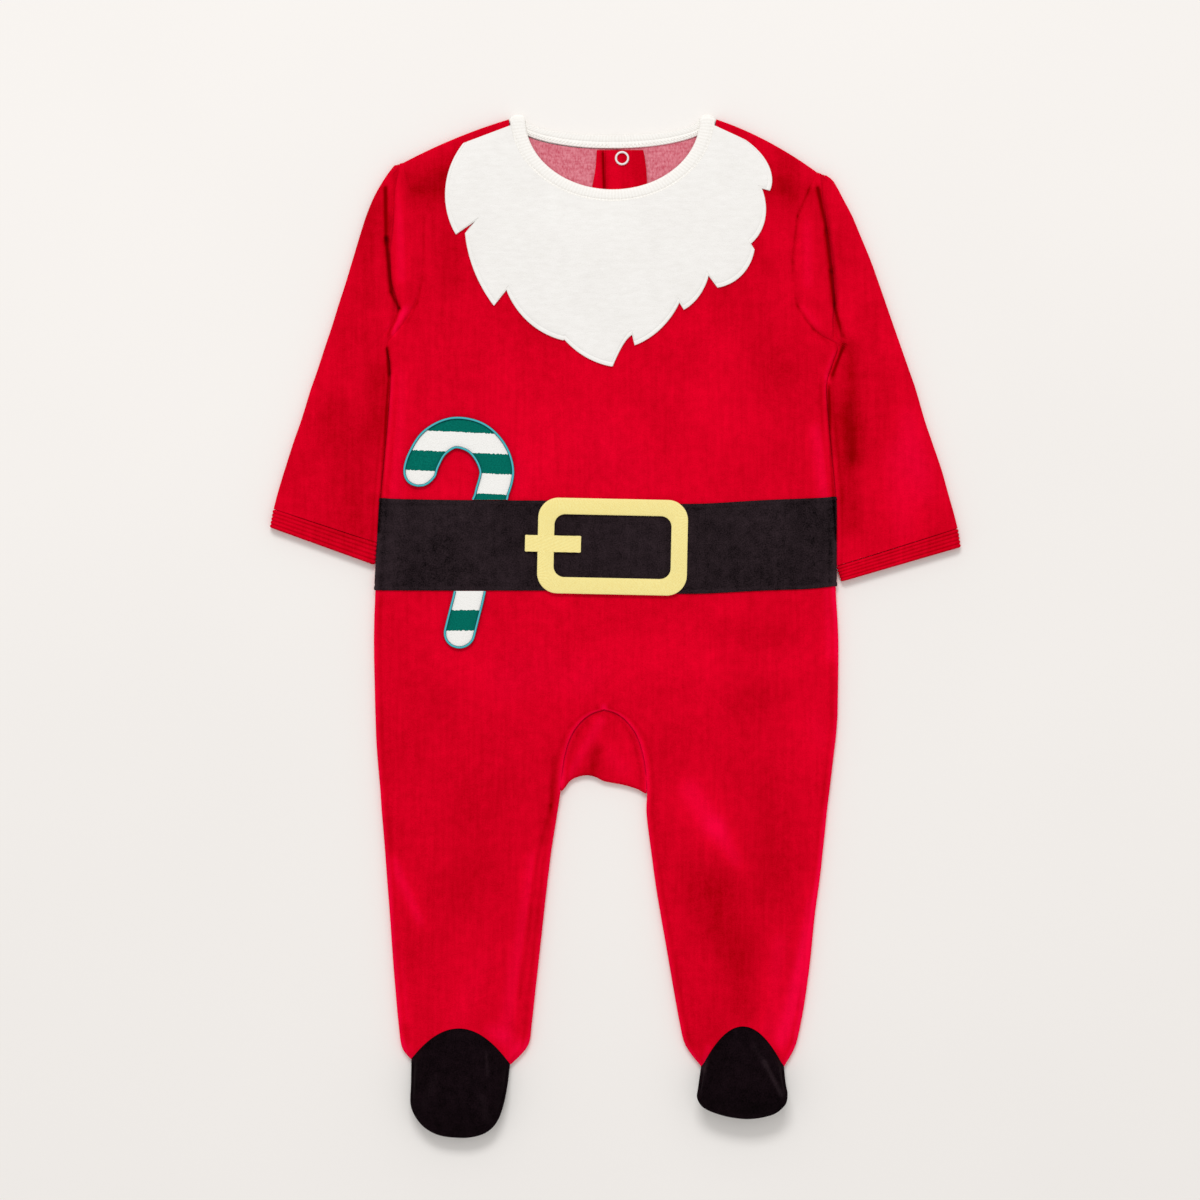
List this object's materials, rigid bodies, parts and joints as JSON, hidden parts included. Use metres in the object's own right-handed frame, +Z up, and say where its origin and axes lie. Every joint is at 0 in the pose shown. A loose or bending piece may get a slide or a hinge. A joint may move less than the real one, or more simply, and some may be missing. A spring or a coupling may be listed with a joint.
{
  "type": "sleepsuit",
  "caption": "Footed long-sleeved velour baby sleepsuit laid flat: lock-edged white chest piece, wide dark belt with pale buckle, striped cane, dark feet",
  "frame": {"origin": "on the surface that the suit lies on, under the middle of its laid-out outline", "axes": "+X across the suit to the right of a viewer who looks down on its front, +Y from the feet to the neck, +Z up from the surface"},
  "size_m": [0.4133, 0.6121, 0.0208],
  "materials": {
    "velour_red": "soft nap",
    "velour_reverse": "plain reverse of the cloth",
    "velour_black": "soft nap",
    "knit_white": "fine rib knit",
    "fleece_white": "short fleece",
    "embroidery_yellow": "satin stitch",
    "ribbon_green": "satin ribbon",
    "snap_white": "painted"
  },
  "bodies": {
    "root": {"front": "velour_red", "gusset": "velour_red", "sleeve_left": "velour_red", "sleeve_right": "velour_red", "cuff_left": "velour_red", "cuff_right": "velour_red", "placket_left": "velour_red", "placket_right": "velour_red", "back_left": "velour_reverse", "back_right": "velour_reverse", "vamp_left": "velour_black", "vamp_right": "velour_black", "sole_left": "velour_black", "sole_right": "velour_black", "belt": "velour_black", "neck_binding": "knit_white", "beard": "fleece_white", "buckle": "embroidery_yellow", "cane_upper": "ribbon_green", "cane_lower": "ribbon_green", "snap": "snap_white"}
  },
  "joints": []
}
